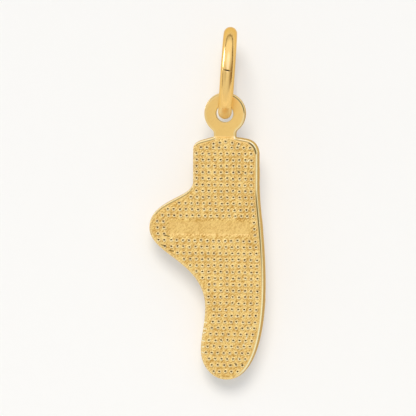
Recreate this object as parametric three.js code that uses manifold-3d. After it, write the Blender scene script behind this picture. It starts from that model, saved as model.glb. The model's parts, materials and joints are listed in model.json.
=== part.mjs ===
// A die-struck gold charm: a foot in a pointe slipper, seen from the side, with a flat eye on top and an
// open-cut round-wire jump ring through the eye. Millimetres, +Z up along the charm, which hangs from the
// ring. The flat back faces -Y and the modelled front faces +Y. The origin is the hang point, on the
// inside of the ring at its top.
import * as THREE from "three";
import { mergeVertices } from "three/addons/utils/BufferGeometryUtils.js";
import Module from "manifold-3d";

// Jump ring
const RING_OUTER_DIAMETER = 5.98;
const WIRE_DIAMETER = 0.88;
const BUTT_GAP = 0.04; // between the wire's cut ends
const BUTT_ANGLE = 1.5; // degrees that the cut lies above the ring's middle, at the slipper's back
const RING_LEAN = 4; // degrees that the ring's top leans towards +X
const RING_TWIST = 5.5; // degrees that the ring is turned about the vertical out of square to the slipper
const WIRE_SIDES = 16;
const RING_STEPS = 72;

// Eye of the slipper, a flat round lug with a hole for the ring
const EYE_DIAMETER = 2.71;
const EYE_THICKNESS = 0.56;
const HOLE_DIAMETER = 1.14;
const EYE_BEVEL = 0.05;
const EYE_SET_IN = 0.02; // the eye's back lies this far below the slipper's back
const BEARING_CLEARANCE = 0.03; // left between the wire and the hole where the eye hangs
const EYE_END_ANGLE = -50; // degrees from level at which the round of the eye turns into the neck
const NECK_WIDTH = 1.46; // at the eye's root
const NECK_DROP = 1.3; // from the hole's middle to the narrowest of the neck
const NECK_SINK = 0.5; // how far the neck runs into the slipper
const CIRCLE_SIDES = 48;

// Slipper outline. Drops are measured down from the middle of the hole, and reaches sideways from it:
// backwards to the heel side (-X) or forwards to the instep side (+X).
const TOP_DROP = 1.55;
const TOP_HALF_WIDTH = 0.75; // half of the level stretch under the neck
const ANKLE_BACK_REACH = 2.085;
const ANKLE_FRONT_REACH = 2.2;
const BACK_SHOULDER = 0.58; // size of the rounded corners
const FRONT_SHOULDER = 0.95;
const BACK_SHOULDER_START = 0.2; // how much lower the corners start than the root of the neck
const FRONT_SHOULDER_START = 0.1;
const BACK_SHOULDER_TILT = 0.145; // how far a corner's pull point lies below its start
const FRONT_SHOULDER_TILT = 0.095;
const FRONT_SHOULDER_TUCK = 0.1; // how far inside the ankle's edge the front corner's pull point lies
const ANKLE_BACK_DROP = 4.44; // where the ankle's straight edges end
const ANKLE_FRONT_DROP = 4.9;
const HEEL_REACH = 4.95;
const HEEL_DROP = 7.45;
const ARCH_REACH = 1.29;
const ARCH_DROP = 12.66;
const BALL_REACH = 1.58;
const BALL_DROP = 15.4;
const INSTEP_REACH = 2.6;
const INSTEP_DROP = 11.2;
const TIP_REACH = 0.12;
const TIP_DROP = 17.37;

// How far each curved stretch keeps the direction of its upper and of its lower end
const HEEL_SLOPE_PULLS = [1.14, 1.84];
const SOLE_PULLS = [1.8, 3];
const BALL_PULLS = [0.93, 0.77];
const TOE_BACK_PULLS = [1.1, 0.95];
const INSTEP_PULLS = [1.1, 3.05];
const TOE_FRONT_PULLS = [1.4, 2.3];

// Slipper relief, measured from the back face forwards
const RIM_THICKNESS = 1;
const BACK_BEVEL = 0.08;
const DOME_HEIGHT = 0.42; // how far the middle stands above the rim
const DOME_RUN = 1.5; // how far inside the outline the dome levels off
const SHOE_STEP = 0.11; // how far the shoe stands above the foot
const BINDING_HEIGHT = 0.07; // the rolled edge of the shoe's opening
const BINDING_WIDTH = 0.3;
const RIBBON_HEIGHT = 0.13;
const RIBBON_WIDTH = 0.78;
const KNOT_HEIGHT = 0.2;
const KNOT_SIZE = 0.62;
const STEP_BLUR = 0.36; // over which a raised edge rises

// The shoe's opening runs through these three places, from the heel to the vamp.
const OPENING_HEEL = [-3.75, -5.9];
const OPENING_SIDE = [-0.5, -10.1];
const OPENING_VAMP = [2.6, -12.1];

// The ribbons' middle lines, from the heel side to the instep side.
const RIBBONS = [
  [[-2.1, -8.4], [2.3, -5.1]],
  [[-3.1, -5.35], [2.4, -7.3]],
  [[-2.3, -3.55], [2.4, -3.95]],
];
const KNOT = [-0.75, -3.68];

// Fineness of the faces
const ROWS = 84;
const ROW_EASING = 0.13; // how strongly the rows crowd towards the top and the toe
const COLUMNS = 28;
const COLUMN_EASING = 0.08;
const TIP_SHORTFALL = 0.006; // the last row lies this far above the very tip, so that it has a width
const EDGE_SAMPLES = 40; // on each curved stretch of the outline
const SLOPE_STEP = 0.01;
const MERGE_DISTANCE = 0.00001;

const GOLD_COLOUR = 0xe6bd74;
const WIRE_ROUGHNESS = 0.12;
const STRUCK_ROUGHNESS = 0.32;

const wasm = await Module();
wasm.setup();

const ringRadius = (RING_OUTER_DIAMETER - WIRE_DIAMETER) / 2;
const wireRadius = WIRE_DIAMETER / 2;
const holeRadius = HOLE_DIAMETER / 2;
const lean = THREE.MathUtils.degToRad(RING_LEAN);
const twist = THREE.MathUtils.degToRad(RING_TWIST);

const gold = (name, roughness) => {
  return new THREE.MeshStandardMaterial({ name, color: GOLD_COLOUR, roughness, metalness: 1 });
};

function solidOf(geometry) {
  const bare = geometry.clone();
  bare.deleteAttribute("normal");
  bare.deleteAttribute("uv");
  const merged = mergeVertices(bare, MERGE_DISTANCE);
  return new wasm.Manifold(
    new wasm.Mesh({
      numProp: 3,
      vertProperties: new Float32Array(merged.attributes.position.array),
      triVerts: new Uint32Array(merged.index.array),
    }),
  );
}

function geometryOf(solid) {
  const mesh = solid.getMesh();
  const geometry = new THREE.BufferGeometry();
  geometry.setAttribute("position", new THREE.BufferAttribute(new Float32Array(mesh.vertProperties), 3));
  geometry.setIndex(new THREE.BufferAttribute(new Uint32Array(mesh.triVerts), 1));
  return geometry;
}

// Places

// The middle of the wire where it lies deepest, measured from the hang point.
function ringBottom() {
  const down = 2 * ringRadius - wireRadius;
  return new THREE.Vector3(-down * Math.sin(lean), 0, -down * Math.cos(lean));
}

// How far the wire's middle stands above the hole's: the wire is a little askew in the hole and curves
// up towards its mouths, so there it must still clear the hole's wall.
function hangingRise() {
  const halfEye = EYE_THICKNESS / 2;
  const play = holeRadius - wireRadius / Math.cos(twist) - BEARING_CLEARANCE;
  const aside = halfEye * Math.tan(twist);
  const curve = halfEye ** 2 / (2 * ringRadius);
  return Math.sqrt(Math.max(play ** 2 - aside ** 2, 0)) - curve;
}

const hole = ringBottom().add(new THREE.Vector3(0, 0, -hangingRise()));

// Jump ring

class RingPath extends THREE.Curve {
  getPoint(share, target = new THREE.Vector3()) {
    const gapAngle = BUTT_GAP / ringRadius;
    const start = THREE.MathUtils.degToRad(BUTT_ANGLE) + gapAngle / 2;
    const angle = start + share * (2 * Math.PI - gapAngle);
    return target.set(0, -ringRadius * Math.cos(angle), ringRadius * Math.sin(angle));
  }
}

function circleShape(radius, sides) {
  const shape = new THREE.Shape();
  shape.moveTo(radius, 0);
  for (let i = 1; i < sides; i += 1) {
    const angle = (2 * Math.PI * i) / sides;
    shape.lineTo(radius * Math.cos(angle), radius * Math.sin(angle));
  }
  shape.closePath();
  return shape;
}

function makeRing() {
  const wire = new THREE.ExtrudeGeometry(circleShape(wireRadius, WIRE_SIDES), {
    steps: RING_STEPS,
    extrudePath: new RingPath(),
    curveSegments: 1,
  });
  wire.deleteAttribute("normal");
  wire.deleteAttribute("uv");
  const merged = mergeVertices(wire, MERGE_DISTANCE);
  const mesh = new THREE.Mesh(merged, gold("polished gold wire", WIRE_ROUGHNESS));
  mesh.name = "jump_ring";
  mesh.rotation.z = twist;
  const leaning = new THREE.Group();
  const middleDrop = ringRadius - wireRadius;
  leaning.rotation.y = lean;
  leaning.position.set(-middleDrop * Math.sin(lean), 0, -middleDrop * Math.cos(lean));
  leaning.add(mesh);
  return leaning;
}

// Slipper outline, as points [sideways, up] from the middle of the hole

// A curve between two places where the outline runs straight down.
function stretch([fromX, fromY], [upperPull, lowerPull], [toX, toY]) {
  const points = [
    new THREE.Vector2(fromX, fromY),
    new THREE.Vector2(fromX, fromY - upperPull),
    new THREE.Vector2(toX, toY + lowerPull),
    new THREE.Vector2(toX, toY),
  ];
  return new THREE.CubicBezierCurve(...points).getPoints(EDGE_SAMPLES);
}

// The same down to the tip, where the outline runs level.
function toeStretch([fromX, fromY], [upperPull, levelPull]) {
  const points = [
    new THREE.Vector2(fromX, fromY),
    new THREE.Vector2(fromX, fromY - upperPull),
    new THREE.Vector2(TIP_REACH + Math.sign(fromX) * levelPull, -TIP_DROP),
    new THREE.Vector2(TIP_REACH, -TIP_DROP),
  ];
  return new THREE.CubicBezierCurve(...points).getPoints(EDGE_SAMPLES);
}

function corner(from, control, to) {
  const points = [from, control, to].map(([x, y]) => new THREE.Vector2(x, y));
  return new THREE.QuadraticBezierCurve(...points).getPoints(EDGE_SAMPLES);
}

// From the neck's root over the back shoulder, down the ankle, round the heel and along the sole.
function backEdge() {
  const shoulder = -TOP_DROP - BACK_SHOULDER_START;
  const ankle = [-ANKLE_BACK_REACH, -ANKLE_BACK_DROP];
  const heel = [-HEEL_REACH, -HEEL_DROP];
  const arch = [-ARCH_REACH, -ARCH_DROP];
  const ball = [-BALL_REACH, -BALL_DROP];
  return [
    new THREE.Vector2(-TOP_HALF_WIDTH, -TOP_DROP),
    ...corner(
      [-ANKLE_BACK_REACH + BACK_SHOULDER, shoulder],
      [-ANKLE_BACK_REACH, shoulder - BACK_SHOULDER_TILT],
      [-ANKLE_BACK_REACH, shoulder - BACK_SHOULDER],
    ),
    ...stretch(ankle, HEEL_SLOPE_PULLS, heel),
    ...stretch(heel, SOLE_PULLS, arch),
    ...stretch(arch, BALL_PULLS, ball),
    ...toeStretch(ball, TOE_BACK_PULLS),
  ];
}

// From the neck's root over the front shoulder, down the ankle and along the instep.
function frontEdge() {
  const shoulder = -TOP_DROP - FRONT_SHOULDER_START;
  const ankle = [ANKLE_FRONT_REACH, -ANKLE_FRONT_DROP];
  const instep = [INSTEP_REACH, -INSTEP_DROP];
  return [
    new THREE.Vector2(TOP_HALF_WIDTH, -TOP_DROP),
    ...corner(
      [ANKLE_FRONT_REACH - FRONT_SHOULDER, shoulder],
      [ANKLE_FRONT_REACH - FRONT_SHOULDER_TUCK, shoulder - FRONT_SHOULDER_TILT],
      [ANKLE_FRONT_REACH, shoulder - FRONT_SHOULDER],
    ),
    ...stretch(ankle, INSTEP_PULLS, instep),
    ...toeStretch(instep, TOE_FRONT_PULLS),
  ];
}

// How far sideways an edge lies at one height.
function reachAt(edge, height) {
  const below = edge.findIndex((point) => point.y <= height);
  if (below < 1) return edge[below < 0 ? edge.length - 1 : 0].x;
  const [a, b] = [edge[below - 1], edge[below]];
  return a.x + ((height - a.y) / (b.y - a.y)) * (b.x - a.x);
}

// The rows' heights lie closer together where the outline closes at the top and at the toe.
function rowHeights() {
  const length = TIP_DROP - TIP_SHORTFALL - TOP_DROP;
  return Array.from({ length: ROWS + 1 }, (_, i) => {
    const share = i / ROWS;
    const eased = share - ROW_EASING * Math.sin(2 * Math.PI * share);
    return -TOP_DROP - eased * length;
  });
}

// Slipper relief

function rise(value, middle) {
  return THREE.MathUtils.smoothstep(value, middle - STEP_BLUR / 2, middle + STEP_BLUR / 2);
}

function distanceToSegment(point, a, b) {
  const along = new THREE.Vector2().subVectors(b, a);
  const share = new THREE.Vector2().subVectors(point, a).dot(along) / along.lengthSq();
  return along.multiplyScalar(THREE.MathUtils.clamp(share, 0, 1)).add(a).distanceTo(point);
}

function distanceToOutline(point, outline) {
  let least = Infinity;
  outline.forEach((a, i) => {
    least = Math.min(least, distanceToSegment(point, a, outline[(i + 1) % outline.length]));
  });
  return least;
}

// The height of the shoe's opening at one place across, a parabola through its three places.
function openingAt(x) {
  const places = [OPENING_HEEL, OPENING_SIDE, OPENING_VAMP];
  return places.reduce((sum, [xi, yi], i) => {
    const others = places.filter((_, j) => j !== i);
    return sum + others.reduce((product, [xj]) => (product * (x - xj)) / (xi - xj), yi);
  }, 0);
}

function band(distance, width, height) {
  return height * (1 - rise(distance, width / 2));
}

function reliefAt(point, outline) {
  const inside = Math.min(distanceToOutline(point, outline) / DOME_RUN, 1);
  const dome = DOME_HEIGHT * (2 * inside - inside ** 2);
  const intoShoe = openingAt(point.x) - point.y;
  const slope = (openingAt(point.x + SLOPE_STEP) - openingAt(point.x)) / SLOPE_STEP;
  const fromOpening = intoShoe / Math.hypot(1, slope);
  const shoe = SHOE_STEP * rise(fromOpening, 0);
  const binding = band(Math.abs(fromOpening - BINDING_WIDTH / 2), BINDING_WIDTH, BINDING_HEIGHT);
  const ribbons = RIBBONS.map(([a, b]) => {
    const distance = distanceToSegment(point, new THREE.Vector2(...a), new THREE.Vector2(...b));
    return band(distance, RIBBON_WIDTH, RIBBON_HEIGHT);
  });
  const knot = band(point.distanceTo(new THREE.Vector2(...KNOT)), KNOT_SIZE, KNOT_HEIGHT);
  return RIM_THICKNESS + dome + Math.max(shoe + binding, knot, ...ribbons);
}

// Slipper body: a domed front over rows and columns, a wall round it, a small bevel and a flat back

function makeRows() {
  const [back, front] = [backEdge(), frontEdge()];
  return rowHeights().map((height) => {
    const [left, right] = [reachAt(back, height), reachAt(front, height)];
    return Array.from({ length: COLUMNS + 1 }, (_, j) => {
      const share = j / COLUMNS;
      const eased = share - COLUMN_EASING * Math.sin(2 * Math.PI * share);
      return new THREE.Vector2(left + eased * (right - left), height);
    });
  });
}

// The grid's own edge, once round it, with the solid on the left hand.
function rimCells() {
  const down = Array.from({ length: ROWS }, (_, i) => i);
  const across = Array.from({ length: COLUMNS }, (_, j) => j);
  return [
    ...down.map((i) => [i, 0]),
    ...across.map((j) => [ROWS, j]),
    ...down.map((i) => [ROWS - i, COLUMNS]),
    ...across.map((j) => [0, COLUMNS - j]),
  ];
}

function insetLoop(loop, inset) {
  return loop.map((point, i) => {
    const before = loop[(i + loop.length - 1) % loop.length];
    const after = loop[(i + 1) % loop.length];
    const along = new THREE.Vector2().subVectors(after, before).normalize();
    return new THREE.Vector2(point.x - along.y * inset, point.y + along.x * inset);
  });
}

// Faces of the flat back, from the numbers of the points round its edge.
function backFaces(loop) {
  const tipEnd = ROWS + COLUMNS;
  const at = (i) => loop[i % loop.length];
  const fromEnd = (i) => loop[loop.length - i];
  const faces = [at(loop.length - COLUMNS - 1), at(loop.length - COLUMNS), at(1)];
  for (let i = 1; i < ROWS - 1; i += 1) {
    const [left, right] = [at(i), fromEnd(COLUMNS + i)];
    const [leftBelow, rightBelow] = [at(i + 1), fromEnd(COLUMNS + i + 1)];
    faces.push(left, leftBelow, rightBelow, left, rightBelow, right);
  }
  for (let i = ROWS - 1; i < tipEnd; i += 1) {
    faces.push(at(i), at(i + 1), at(tipEnd + 1));
  }
  for (let i = loop.length - COLUMNS; i < loop.length; i += 1) {
    faces.push(at(i), at(i + 1), at(1));
  }
  return faces;
}

function makeBody() {
  const rows = makeRows();
  const cells = rimCells();
  const rim = cells.map(([i, j]) => rows[i][j]);
  const positions = [];
  const faces = [];
  const add = (point, depth) => positions.push(point.x, depth, point.y) / 3 - 1;
  const quad = (a, b, c, d) => faces.push(a, b, c, a, c, d);

  const grid = rows.map((row) => row.map((point) => add(point, reliefAt(point, rim))));
  for (let i = 0; i < ROWS; i += 1) {
    for (let j = 0; j < COLUMNS; j += 1) {
      quad(grid[i][j], grid[i][j + 1], grid[i + 1][j + 1], grid[i + 1][j]);
    }
  }
  const top = cells.map(([i, j]) => grid[i][j]);
  const wallFoot = rim.map((point) => add(point, BACK_BEVEL));
  const backLoop = insetLoop(rim, BACK_BEVEL).map((point) => add(point, 0));
  rim.forEach((_, i) => {
    const next = (i + 1) % rim.length;
    quad(top[i], top[next], wallFoot[next], wallFoot[i]);
    quad(wallFoot[i], wallFoot[next], backLoop[next], backLoop[i]);
  });
  faces.push(...backFaces(backLoop));

  const geometry = new THREE.BufferGeometry();
  geometry.setAttribute("position", new THREE.Float32BufferAttribute(positions, 3));
  geometry.setIndex(faces);
  return geometry;
}

// Eye and neck, drawn with the hole's middle at zero and stood up so that its back faces -Y
function makeEye() {
  const half = NECK_WIDTH / 2;
  const radius = EYE_DIAMETER / 2;
  const end = THREE.MathUtils.degToRad(EYE_END_ANGLE);
  const shape = new THREE.Shape();
  shape.moveTo(half, -TOP_DROP - NECK_SINK);
  shape.lineTo(half, -NECK_DROP);
  for (let i = 0; i <= CIRCLE_SIDES; i += 1) {
    const angle = end + (i / CIRCLE_SIDES) * (Math.PI - 2 * end);
    shape.lineTo(radius * Math.cos(angle), radius * Math.sin(angle));
  }
  shape.lineTo(-half, -NECK_DROP);
  shape.lineTo(-half, -TOP_DROP - NECK_SINK);
  shape.closePath();
  shape.holes.push(circleShape(holeRadius, CIRCLE_SIDES));
  const eye = new THREE.ExtrudeGeometry(shape, {
    depth: EYE_THICKNESS - 2 * EYE_BEVEL,
    bevelThickness: EYE_BEVEL,
    bevelSize: EYE_BEVEL,
    bevelOffset: -EYE_BEVEL,
    bevelSegments: 2,
  });
  eye.rotateX(Math.PI / 2);
  eye.translate(0, EYE_SET_IN + EYE_THICKNESS - EYE_BEVEL, 0);
  return eye;
}

function makeSlipper() {
  const solid = solidOf(makeBody()).add(solidOf(makeEye()));
  const mesh = new THREE.Mesh(geometryOf(solid), gold("struck gold", STRUCK_ROUGHNESS));
  mesh.name = "slipper";
  mesh.position.set(hole.x, -EYE_SET_IN - EYE_THICKNESS / 2, hole.z);
  return mesh;
}

const charm = new THREE.Group();
charm.add(makeRing(), makeSlipper());

export default charm;
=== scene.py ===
import json
import math

import bpy
import numpy as np
from bpy.props import FloatProperty, FloatVectorProperty, IntProperty, PointerProperty
from mathutils import Matrix, Vector
from mathutils.geometry import delaunay_2d_cdt
from mathutils.kdtree import KDTree


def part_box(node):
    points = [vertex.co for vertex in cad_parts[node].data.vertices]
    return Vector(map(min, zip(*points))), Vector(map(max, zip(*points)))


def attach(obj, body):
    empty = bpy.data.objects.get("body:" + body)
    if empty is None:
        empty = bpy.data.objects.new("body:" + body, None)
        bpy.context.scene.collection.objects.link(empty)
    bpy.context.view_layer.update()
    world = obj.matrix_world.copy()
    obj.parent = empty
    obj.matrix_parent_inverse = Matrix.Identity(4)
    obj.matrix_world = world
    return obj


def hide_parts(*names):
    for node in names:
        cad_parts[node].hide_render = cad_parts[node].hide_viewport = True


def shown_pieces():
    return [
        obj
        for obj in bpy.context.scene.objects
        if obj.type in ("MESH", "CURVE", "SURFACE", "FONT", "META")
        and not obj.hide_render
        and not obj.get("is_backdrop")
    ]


bl_info = {
    "name": "Ballet Slipper Charm",
    "version": (1, 0, 0),
    "blender": (4, 5, 0),
    "location": "3D View > Sidebar > Charm",
    "description": "A struck gold charm in the shape of a foot in a pointe slipper, on a jump ring",
    "category": "Object",
}

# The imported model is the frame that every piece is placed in.
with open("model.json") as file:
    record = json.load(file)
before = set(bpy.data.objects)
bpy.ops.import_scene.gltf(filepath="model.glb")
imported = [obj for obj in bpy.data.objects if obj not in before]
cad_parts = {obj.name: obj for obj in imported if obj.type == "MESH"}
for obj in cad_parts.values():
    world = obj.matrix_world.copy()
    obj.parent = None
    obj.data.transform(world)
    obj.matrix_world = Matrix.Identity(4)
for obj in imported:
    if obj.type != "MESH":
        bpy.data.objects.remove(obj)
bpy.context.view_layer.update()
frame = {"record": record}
SWING = frame["record"]["behaviour"]["joints"][0]
HOLE_MIDDLE = Vector(SWING["pos_m"])
BACK_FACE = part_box("slipper")[0][1]

MM = 0.001


# Settings

def length(name, description, millimetres):
    return FloatProperty(
        name=name, description=description, default=millimetres * MM, unit="LENGTH", precision=5,
    )


def place(name, description, across, up, subtype="XYZ"):
    return FloatVectorProperty(
        name=name, description=description, default=(across * MM, up * MM), size=2, subtype=subtype,
        unit="LENGTH", precision=5,
    )


def pulls(name, description, upper, lower):
    return place(name, description, upper, lower, subtype="NONE")


def angle(name, description, degrees):
    return FloatProperty(
        name=name, description=description, default=math.radians(degrees), subtype="ANGLE",
        unit="ROTATION",
    )


def share(name, description, value):
    return FloatProperty(name=name, description=description, default=value, subtype="FACTOR")


def colour(name, description, red, green, blue):
    return FloatVectorProperty(
        name=name, description=description, default=(red, green, blue), size=3, subtype="COLOR",
        min=0, max=1,
    )


class RingSizes(bpy.types.PropertyGroup):
    outer_diameter: length("Outer diameter", "Across the outside of the jump ring", 5.98)
    wire_diameter: length("Wire diameter", "Thickness of the round wire", 0.88)
    seam_gap: length("Seam gap", "Between the wire's two cut ends", 0.04)
    seam_angle: angle("Seam angle", "How far the cut lies above the ring's middle", 6)
    end_round: length("End rounding", "Rounding of the cut ends", 0.03)
    lean: angle("Lean", "How far the ring's top leans to the instep's side", 4)
    twist: angle("Twist", "How far the ring is turned out of square to the slipper", 5.5)


class EyeSizes(bpy.types.PropertyGroup):
    diameter: length("Diameter", "Across the flat round eye", 2.71)
    thickness: length("Thickness", "From the eye's back to its front", 0.56)
    hole_diameter: length("Hole", "Across the hole for the ring", 1.14)
    set_in: length("Set in", "How far the eye's back lies below the slipper's", 0.02)
    end_angle: angle("End of the round", "Where the round of the eye turns into the neck", -50)
    neck_width: length("Neck width", "Across the narrowest of the neck", 1.46)
    neck_drop: length("Neck drop", "From the hole's middle to the narrowest of the neck", 1.3)
    root_round: length("Root rounding", "Rounding where the neck meets the slipper", 0.06)


class OutlineSizes(bpy.types.PropertyGroup):
    top_drop: length("Top", "From the hole's middle down to the slipper's top edge", 1.55)
    ankle_back: length("Ankle, back", "Reach of the ankle's back edge", 2.085)
    ankle_front: length("Ankle, front", "Reach of the ankle's front edge", 2.2)
    back_shoulder: length("Back shoulder", "Size of the rounded corner at the back", 0.58)
    front_shoulder: length("Front shoulder", "Size of the rounded corner at the front", 0.95)
    back_start: length("Back shoulder start", "How much lower the back corner starts", 0.2)
    front_start: length("Front shoulder start", "How much lower the front corner starts", 0.1)
    back_tilt: length("Back shoulder tilt", "Drop of the back corner's pull point", 0.145)
    front_tilt: length("Front shoulder tilt", "Drop of the front corner's pull point", 0.095)
    front_tuck: length("Front shoulder tuck", "How far inside the front pull point lies", 0.1)
    ankle_back_end: place("Ankle back end", "Where the back edge leaves the straight", -2.085, -4.44)
    ankle_front_end: place("Ankle front end", "Where the front edge leaves the straight", 2.2, -4.9)
    heel: place("Heel", "The heel's farthest point", -4.95, -7.45)
    arch: place("Arch", "The deepest of the arch under the foot", -1.29, -12.66)
    ball: place("Ball", "The fullest point of the toe's back edge", -1.58, -15.4)
    instep: place("Instep", "The fullest point of the instep", 2.6, -11.2)
    tip: place("Tip", "The lowest point of the toe", 0.12, -17.37)
    heel_slope_pulls: pulls("Heel slope", "Pull of the slope from ankle to heel", 1.14, 1.84)
    sole_pulls: pulls("Sole", "Pull of the edge from heel to arch", 1.8, 3)
    ball_pulls: pulls("Ball pulls", "Pull of the edge from arch to ball", 0.93, 0.77)
    toe_back_pulls: pulls("Toe back", "Pull of the round from ball to tip", 1.1, 0.95)
    instep_pulls: pulls("Instep pulls", "Pull of the edge from ankle to instep", 1.1, 3.05)
    toe_front_pulls: pulls("Toe front", "Pull of the round from instep to tip", 1.4, 2.3)


class BackSizes(bpy.types.PropertyGroup):
    edge_round: length("Edge width", "Width of the sloping edge round the back", 0.09)
    edge_depth: length("Edge depth", "Depth of the sloping edge round the back", 0.36)
    rim_width: length("Rim width", "Width of the raised rim, with its inner slope", 0.28)
    rim_slope: length("Rim slope", "Width of the rim's inner slope", 0.09)
    field_depth: length("Field depth", "How deep the pitted field lies below the rim", 0.022)
    first_row: length("First row", "From the hole's middle down to the first whole row of pits", 2.202)
    row_pitch: length("Row pitch", "From one row of pits to the next", 0.4057)
    column_pitch: length("Column pitch", "From one pit to the next in a row", 0.396)
    row_tilt: angle("Row tilt", "How far the rows fall towards the instep's side", 0.4)
    instep_margin: length("Instep margin", "From the instep's edge to the first pit", 0.45)
    sole_margin: length("Sole margin", "Least distance of a pit from any edge", 0.25)
    wander: length("Wander", "How far a pit strays from its place", 0.011)
    pit_radius: length("Pit radius", "From a pit's middle to the crest of its lip", 0.085)
    pit_depth: length("Pit depth", "Depth of a pit below the field", 0.05)
    lip_width: length("Lip width", "Width of the outer slope of the lip round a pit", 0.05)
    lip_height: length("Lip height", "Height of the raised lip round a pit", 0.016)
    hollow_radius: length("Hollow radius", "Size of the faint hollow between four pits", 0.12)
    hollow_depth: length("Hollow depth", "Depth of the faint hollow between four pits", 0.016)
    band_low: place("Band, heel end", "Lower corner of the bare struck band", -3.69, -7.96)
    band_high: place("Band, instep end", "Upper corner of the bare struck band", 1.74, -6.92)
    band_depth: length("Band depth", "How deep the bare band is struck", 0.007)
    band_edge: length("Band edge", "Width of the band's sloping edge", 0.16)
    nick_radius: length("Nick radius", "Half width of the nicks that wear has left", 0.06)
    nick_depth: length("Nick depth", "Depth of the nicks that wear has left", 0.04)


class FrontSizes(bpy.types.PropertyGroup):
    edge_round: length("Edge rounding", "Rounding of the edge round the front", 0.07)
    rim_thickness: length("Rim thickness", "From the back to the edge of the front", 1)
    dome_height: length("Dome height", "How far the middle stands above the rim", 0.42)
    dome_run: length("Dome run", "How far inside the edge the dome levels off", 1.5)
    shoe_step: length("Shoe step", "How far the shoe stands above the foot", 0.11)
    binding_height: length("Binding height", "Height of the shoe's rolled edge", 0.07)
    binding_width: length("Binding width", "Width of the shoe's rolled edge", 0.3)
    ribbon_height: length("Ribbon height", "How far the ribbons stand above the foot", 0.13)
    ribbon_width: length("Ribbon width", "Width of the ribbons", 0.78)
    knot_height: length("Knot height", "How far the knot stands above the foot", 0.2)
    knot_size: length("Knot size", "Width of the knot", 0.62)
    step_blur: length("Step blur", "Over which a raised edge rises", 0.1)
    knot: place("Knot", "Middle of the knot", -0.75, -3.68)
    opening_heel: place("Opening, heel", "The shoe's opening at the heel", -3.75, -5.9)
    opening_side: place("Opening, side", "The shoe's opening at the side", -0.5, -10.1)
    opening_vamp: place("Opening, vamp", "The shoe's opening over the toes", 2.6, -12.1)


class GoldFinish(bpy.types.PropertyGroup):
    struck: colour("Struck gold", "Colour of the struck metal", 0.91, 0.59, 0.181)
    wire: colour("Wire gold", "Colour of the polished wire", 0.92, 0.607, 0.212)
    # Painted light: the next colour is painted shade in the grain's low places on the struck field, and also
    # the real tone of the wire's dull smears; the one after it is a painted highlight on each crest of the
    # grain.
    warm_shade_and_smear: colour("Warm gold", "Colour in the grain's low places", 0.6, 0.31, 0.055)
    crest: colour("Crest gold", "Colour on the grain's crests", 1.0, 0.705, 0.235)
    # Painted shade: this brown is painted shade on the far side of the pits' lips and in a line along the
    # rim's right side.
    shade: colour("Shade", "Colour on the far side of the pits' lips", 0.36, 0.17, 0.03)
    # This pale colour is a painted highlight on the pits' lips, on lines along the rim, in the hole and on
    # the ring's bottom, and also burnish from wear along the edges, in the hole and where the ring rubs the
    # eye; the bright nicks take it too.
    burnish_and_highlight: colour("Burnished gold", "Colour that wear leaves on lips, edges and nicks", 0.98, 0.9, 0.55)
    # Painted shade: this dark colour is painted shade in the pits' upper sides, the hollows between pits,
    # dark lines along the rim, the outer edge, the front's hollows, the hole and the ring's cut; the dull
    # nicks take it too.
    deep_shade: colour("Recess", "Colour deep in the pits, where polish has stayed", 0.12, 0.085, 0.018)
    satin: share("Satin roughness", "Roughness of the pitted field", 0.29)
    tumbled: share("Tumbled roughness", "Roughness of the eye, the edge and the front", 0.34)
    polished: share("Polished roughness", "Roughness of the wire", 0.165)


class StageSettings(bpy.types.PropertyGroup):
    paper: colour("Paper", "Colour of the paper behind and under the charm", 0.93, 0.91, 0.835)
    fibres: colour("Fibres", "Colour of the paper's fibres", 0.87, 0.855, 0.8)
    white: colour("White", "White that the camera sees the paper mixed with", 1.0, 0.99, 0.95)
    whitening: share("Whitening", "How much white the camera sees on the paper", 0.35)
    seen_around: colour("Surroundings", "Colour that the camera sees past the paper", 0.956, 0.947, 0.913)
    paper_gap: length("Paper gap", "Between the charm's farthest point and the paper", 0.15)
    azimuth: angle("View azimuth", "Direction of the view round the charm", 6.5)
    elevation: angle("View elevation", "Height of the view above level", 4.5)
    view_width: length("View width", "Width of the view at the charm", 27.04)
    view_distance: length("View distance", "From the camera to the charm", 250)
    aim: FloatVectorProperty(
        name="Aim", description="The point that the camera looks at", size=3, subtype="XYZ",
        unit="LENGTH", precision=5, default=(-1.43 * MM, 0, -10.89 * MM),
    )


class CharmSettings(bpy.types.PropertyGroup):
    ring: PointerProperty(type=RingSizes)
    eye: PointerProperty(type=EyeSizes)
    outline: PointerProperty(type=OutlineSizes)
    back: PointerProperty(type=BackSizes)
    front: PointerProperty(type=FrontSizes)
    gold: PointerProperty(type=GoldFinish)
    stage: PointerProperty(type=StageSettings)
    seed: IntProperty(name="Seed", description="Seed of the pits' wandering", default=11)


# Shader maths

# Holds back the pale tone that metal takes on where it is seen edge-on
GRAZING_TINT = (0.88, 0.71, 0.4, 1)


class Wire:
    """One output of a node tree. Operators on it add Math nodes."""

    def __init__(self, tree, socket):
        self.tree = tree
        self.socket = socket

    def math(self, operation, first, second):
        return self.tree.node("ShaderNodeMath", {"operation": operation}, {0: first, 1: second})

    def __add__(self, other):
        return self.math("ADD", self, other)

    __radd__ = __add__

    def __mul__(self, other):
        return self.math("MULTIPLY", self, other)

    __rmul__ = __mul__

    def __sub__(self, other):
        return self.math("SUBTRACT", self, other)

    def __rsub__(self, other):
        return self.math("SUBTRACT", other, self)


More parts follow.
